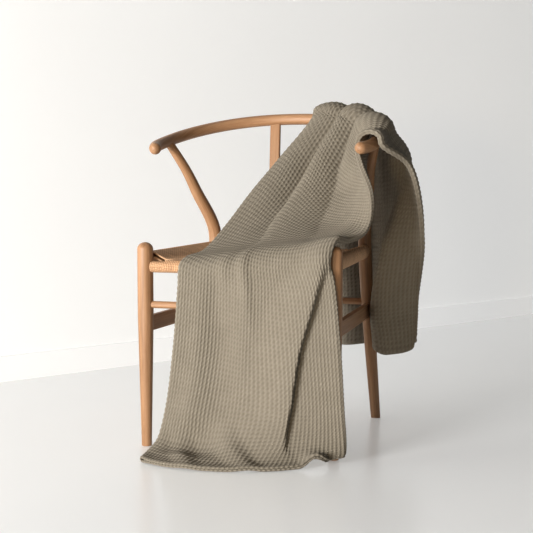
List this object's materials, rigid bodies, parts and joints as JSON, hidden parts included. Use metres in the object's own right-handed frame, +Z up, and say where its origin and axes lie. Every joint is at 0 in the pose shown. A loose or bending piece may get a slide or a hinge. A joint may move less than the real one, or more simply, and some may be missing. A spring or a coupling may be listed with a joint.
{
  "type": "knitted blanket draped on a wooden chair",
  "caption": "Waffle-knit blanket, folded once along its length and draped from the floor over the seat and arm of a plain bow-back wooden chair with a woven cord seat.",
  "frame": {"origin": "middle of the floor under the bounding box of the whole part", "axes": "+Z up, +Y towards the back of the chair, +X towards the arm that the blanket lies over"},
  "size_m": [0.6352, 0.738, 0.7925],
  "materials": {
    "wood": "oiled, satin",
    "cord": "woven paper cord, matt",
    "knit": "waffle knit, matt"
  },
  "bodies": {
    "root": {"bow_rail": "wood", "front_leg_left": "wood", "front_leg_right": "wood", "rear_post_left": "wood", "rear_post_right": "wood", "seat_rail_left": "wood", "seat_rail_right": "wood", "seat_rail_front": "wood", "seat_rail_back": "wood", "side_board_left": "wood", "side_board_right": "wood", "slat_left": "wood", "slat_right": "wood", "stretcher_front": "wood", "stretcher_back": "wood", "seat": "cord", "blanket": "knit"}
  },
  "joints": []
}
